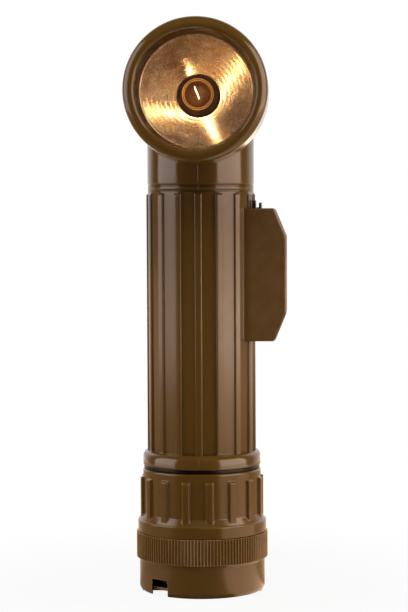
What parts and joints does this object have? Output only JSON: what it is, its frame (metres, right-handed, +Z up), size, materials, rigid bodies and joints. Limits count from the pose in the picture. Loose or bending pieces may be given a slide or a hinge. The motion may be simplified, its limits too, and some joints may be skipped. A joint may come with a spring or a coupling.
{
  "type": "right-angle flashlight",
  "caption": "Right-angle flashlight: ribbed tube, forward-facing lamp head with screw-on lens ring, guarded slide switch, belt clip, and tail and base caps with a hanging loop.",
  "frame": {"origin": "on the tube axis, in the plane of the foot's lower face", "axes": "+Z up along the tube, the lamp faces -Y, the switch is on +X, the belt clip on +Y"},
  "size_m": [0.0573, 0.0671, 0.2091],
  "materials": {
    "brown_moulding": "glossy injection moulding",
    "clear_lens": "clear",
    "black_rubber": "matt",
    "bright_reflector": "plated",
    "bulb_glass": "clear",
    "brass": "rolled",
    "filament": "glowing",
    "black_moulding": "satin",
    "black_steel": "black enamel",
    "plated_steel": "nickel plated",
    "cell_jacket": "painted",
    "red_filter": "clear tint",
    "blue_filter": "clear tint",
    "diffuser": "frosted",
    "foam": "foam"
  },
  "bodies": {
    "housing": {"body_shell": "brown_moulding", "reflector": "bright_reflector", "bulb_glass": "bulb_glass", "bulb_base": "brass", "filament": "filament", "bulb_holder": "brown_moulding", "insulator_disc": "black_moulding", "lamp_contact": "brass", "lamp_conductor": "brass", "side_conductor": "brass", "switch_gasket": "black_rubber", "switch_plate": "black_moulding", "switch_studs": "brass", "switch_rivets": "plated_steel", "button_spring": "plated_steel", "clip_plate": "black_steel", "clip_rivets": "plated_steel", "tail_seal": "black_rubber", "upper_cell": "cell_jacket", "lower_cell": "cell_jacket", "tail_spring": "plated_steel"},
    "lens_stack": {"lens": "clear_lens", "lens_gasket": "black_rubber"},
    "ring": {"lens_ring": "brown_moulding"},
    "slide": {"switch_slide": "black_moulding", "slide_contact": "brass"},
    "button": {"signal_button": "black_moulding"},
    "clip": {"belt_clip": "black_steel"},
    "tail_fittings": {"tail_contact": "brass"},
    "tail": {"tail_cap": "brown_moulding"},
    "filters": {"red_filter": "red_filter", "blue_filter": "blue_filter", "diffuser": "diffuser", "filter_cushion": "foam"},
    "base": {"base_cap": "brown_moulding", "loop_bracket": "plated_steel", "loop_rivets": "plated_steel"},
    "loop": {"hanging_loop": "black_steel"}
  },
  "joints": [
    {"name": "lens_travel", "type": "slide", "parent": "housing", "child": "lens_stack", "axis": [0, -0.9986, 0.0523], "range_m": [0, 0.0075]},
    {"name": "lens_ring_turn", "type": "hinge", "parent": "lens_stack", "child": "ring", "pos_m": [0, 0, 0.18165], "axis": [0, -0.9986, 0.0523], "range_deg": [0, 1080]},
    {"name": "switch_travel", "type": "slide", "parent": "housing", "child": "slide", "axis": [0, 0, 1], "range_m": [-0.0095, 0]},
    {"name": "signal_press", "type": "slide", "parent": "housing", "child": "button", "axis": [-1, 0, 0], "range_m": [0, 0.0015], "stiffness_N_per_m": 300, "springref_m": -0.0015, "deforming": ["button_spring"]},
    {"name": "clip_flex", "type": "hinge", "parent": "housing", "child": "clip", "pos_m": [0, 0.0241, 0.14495], "axis": [1, 0, 0], "range_deg": [0, 8], "stiffness_Nm_per_rad": 1.2, "springref_deg": -2.86},
    {"name": "tail_travel", "type": "slide", "parent": "housing", "child": "tail_fittings", "axis": [0, 0, -1], "range_m": [0, 0.012], "deforming": ["tail_spring"]},
    {"name": "tail_turn", "type": "hinge", "parent": "tail_fittings", "child": "tail", "pos_m": [0, 0, 0.03], "axis": [0, 0, -1], "range_deg": [0, 1440]},
    {"name": "base_travel", "type": "slide", "parent": "tail", "child": "filters", "axis": [0, 0, -1], "range_m": [0, 0.0075]},
    {"name": "base_turn", "type": "hinge", "parent": "filters", "child": "base", "pos_m": [0, 0, 0.01], "axis": [0, 0, -1], "range_deg": [0, 1080]},
    {"name": "loop_swing", "type": "hinge", "parent": "base", "child": "loop", "pos_m": [0.00853, 0.00981, 0.00435], "axis": [0.7547, -0.6561, 0], "range_deg": [0, 100]}
  ],
  "couplings": [
    {"joint": "lens_travel", "follows": "lens_ring_turn", "m_per_rad": 0.00039789},
    {"joint": "tail_travel", "follows": "tail_turn", "m_per_rad": 0.00047746},
    {"joint": "base_travel", "follows": "base_turn", "m_per_rad": 0.00039789}
  ]
}
